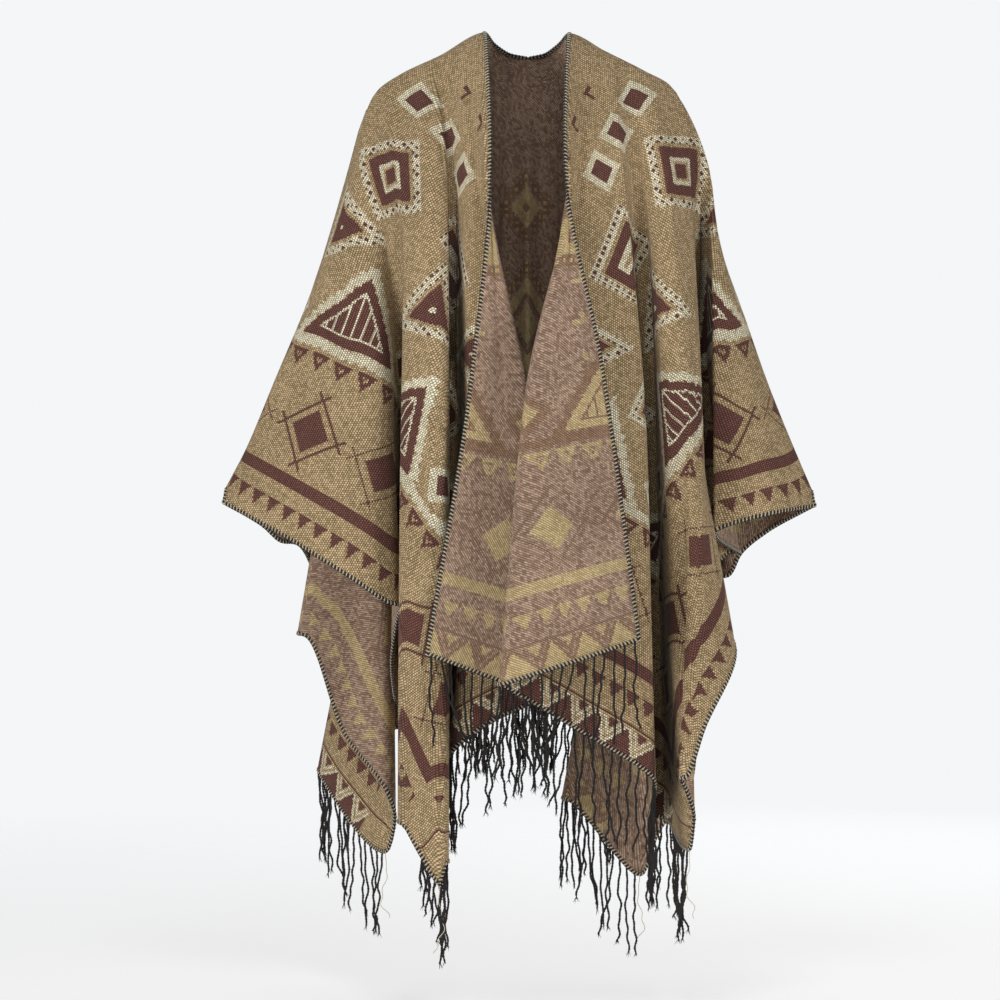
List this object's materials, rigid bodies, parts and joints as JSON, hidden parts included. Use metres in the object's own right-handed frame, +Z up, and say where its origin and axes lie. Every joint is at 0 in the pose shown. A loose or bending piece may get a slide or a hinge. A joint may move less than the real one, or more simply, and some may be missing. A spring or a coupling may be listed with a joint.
{
  "type": "ruana",
  "caption": "Woven wool-blend ruana in worn shape, open down the front with turned-back lapels, draped points and a dark cord fringe.",
  "frame": {"origin": "on the shoulder line, midway between the two neck sides, where the wearer's shoulders hold it", "axes": "+Z up, -Y out of the front of the garment, +X towards the right of a person who looks at the front"},
  "size_m": [0.694, 0.3801, 1.1003],
  "materials": {
    "cloth": "matte woven",
    "yarn": "matte twisted cord"
  },
  "bodies": {
    "root": {"front_left": "cloth", "front_right": "cloth", "back": "cloth", "fringe_front_left": "yarn", "fringe_front_right": "yarn", "fringe_back": "yarn"}
  },
  "joints": []
}
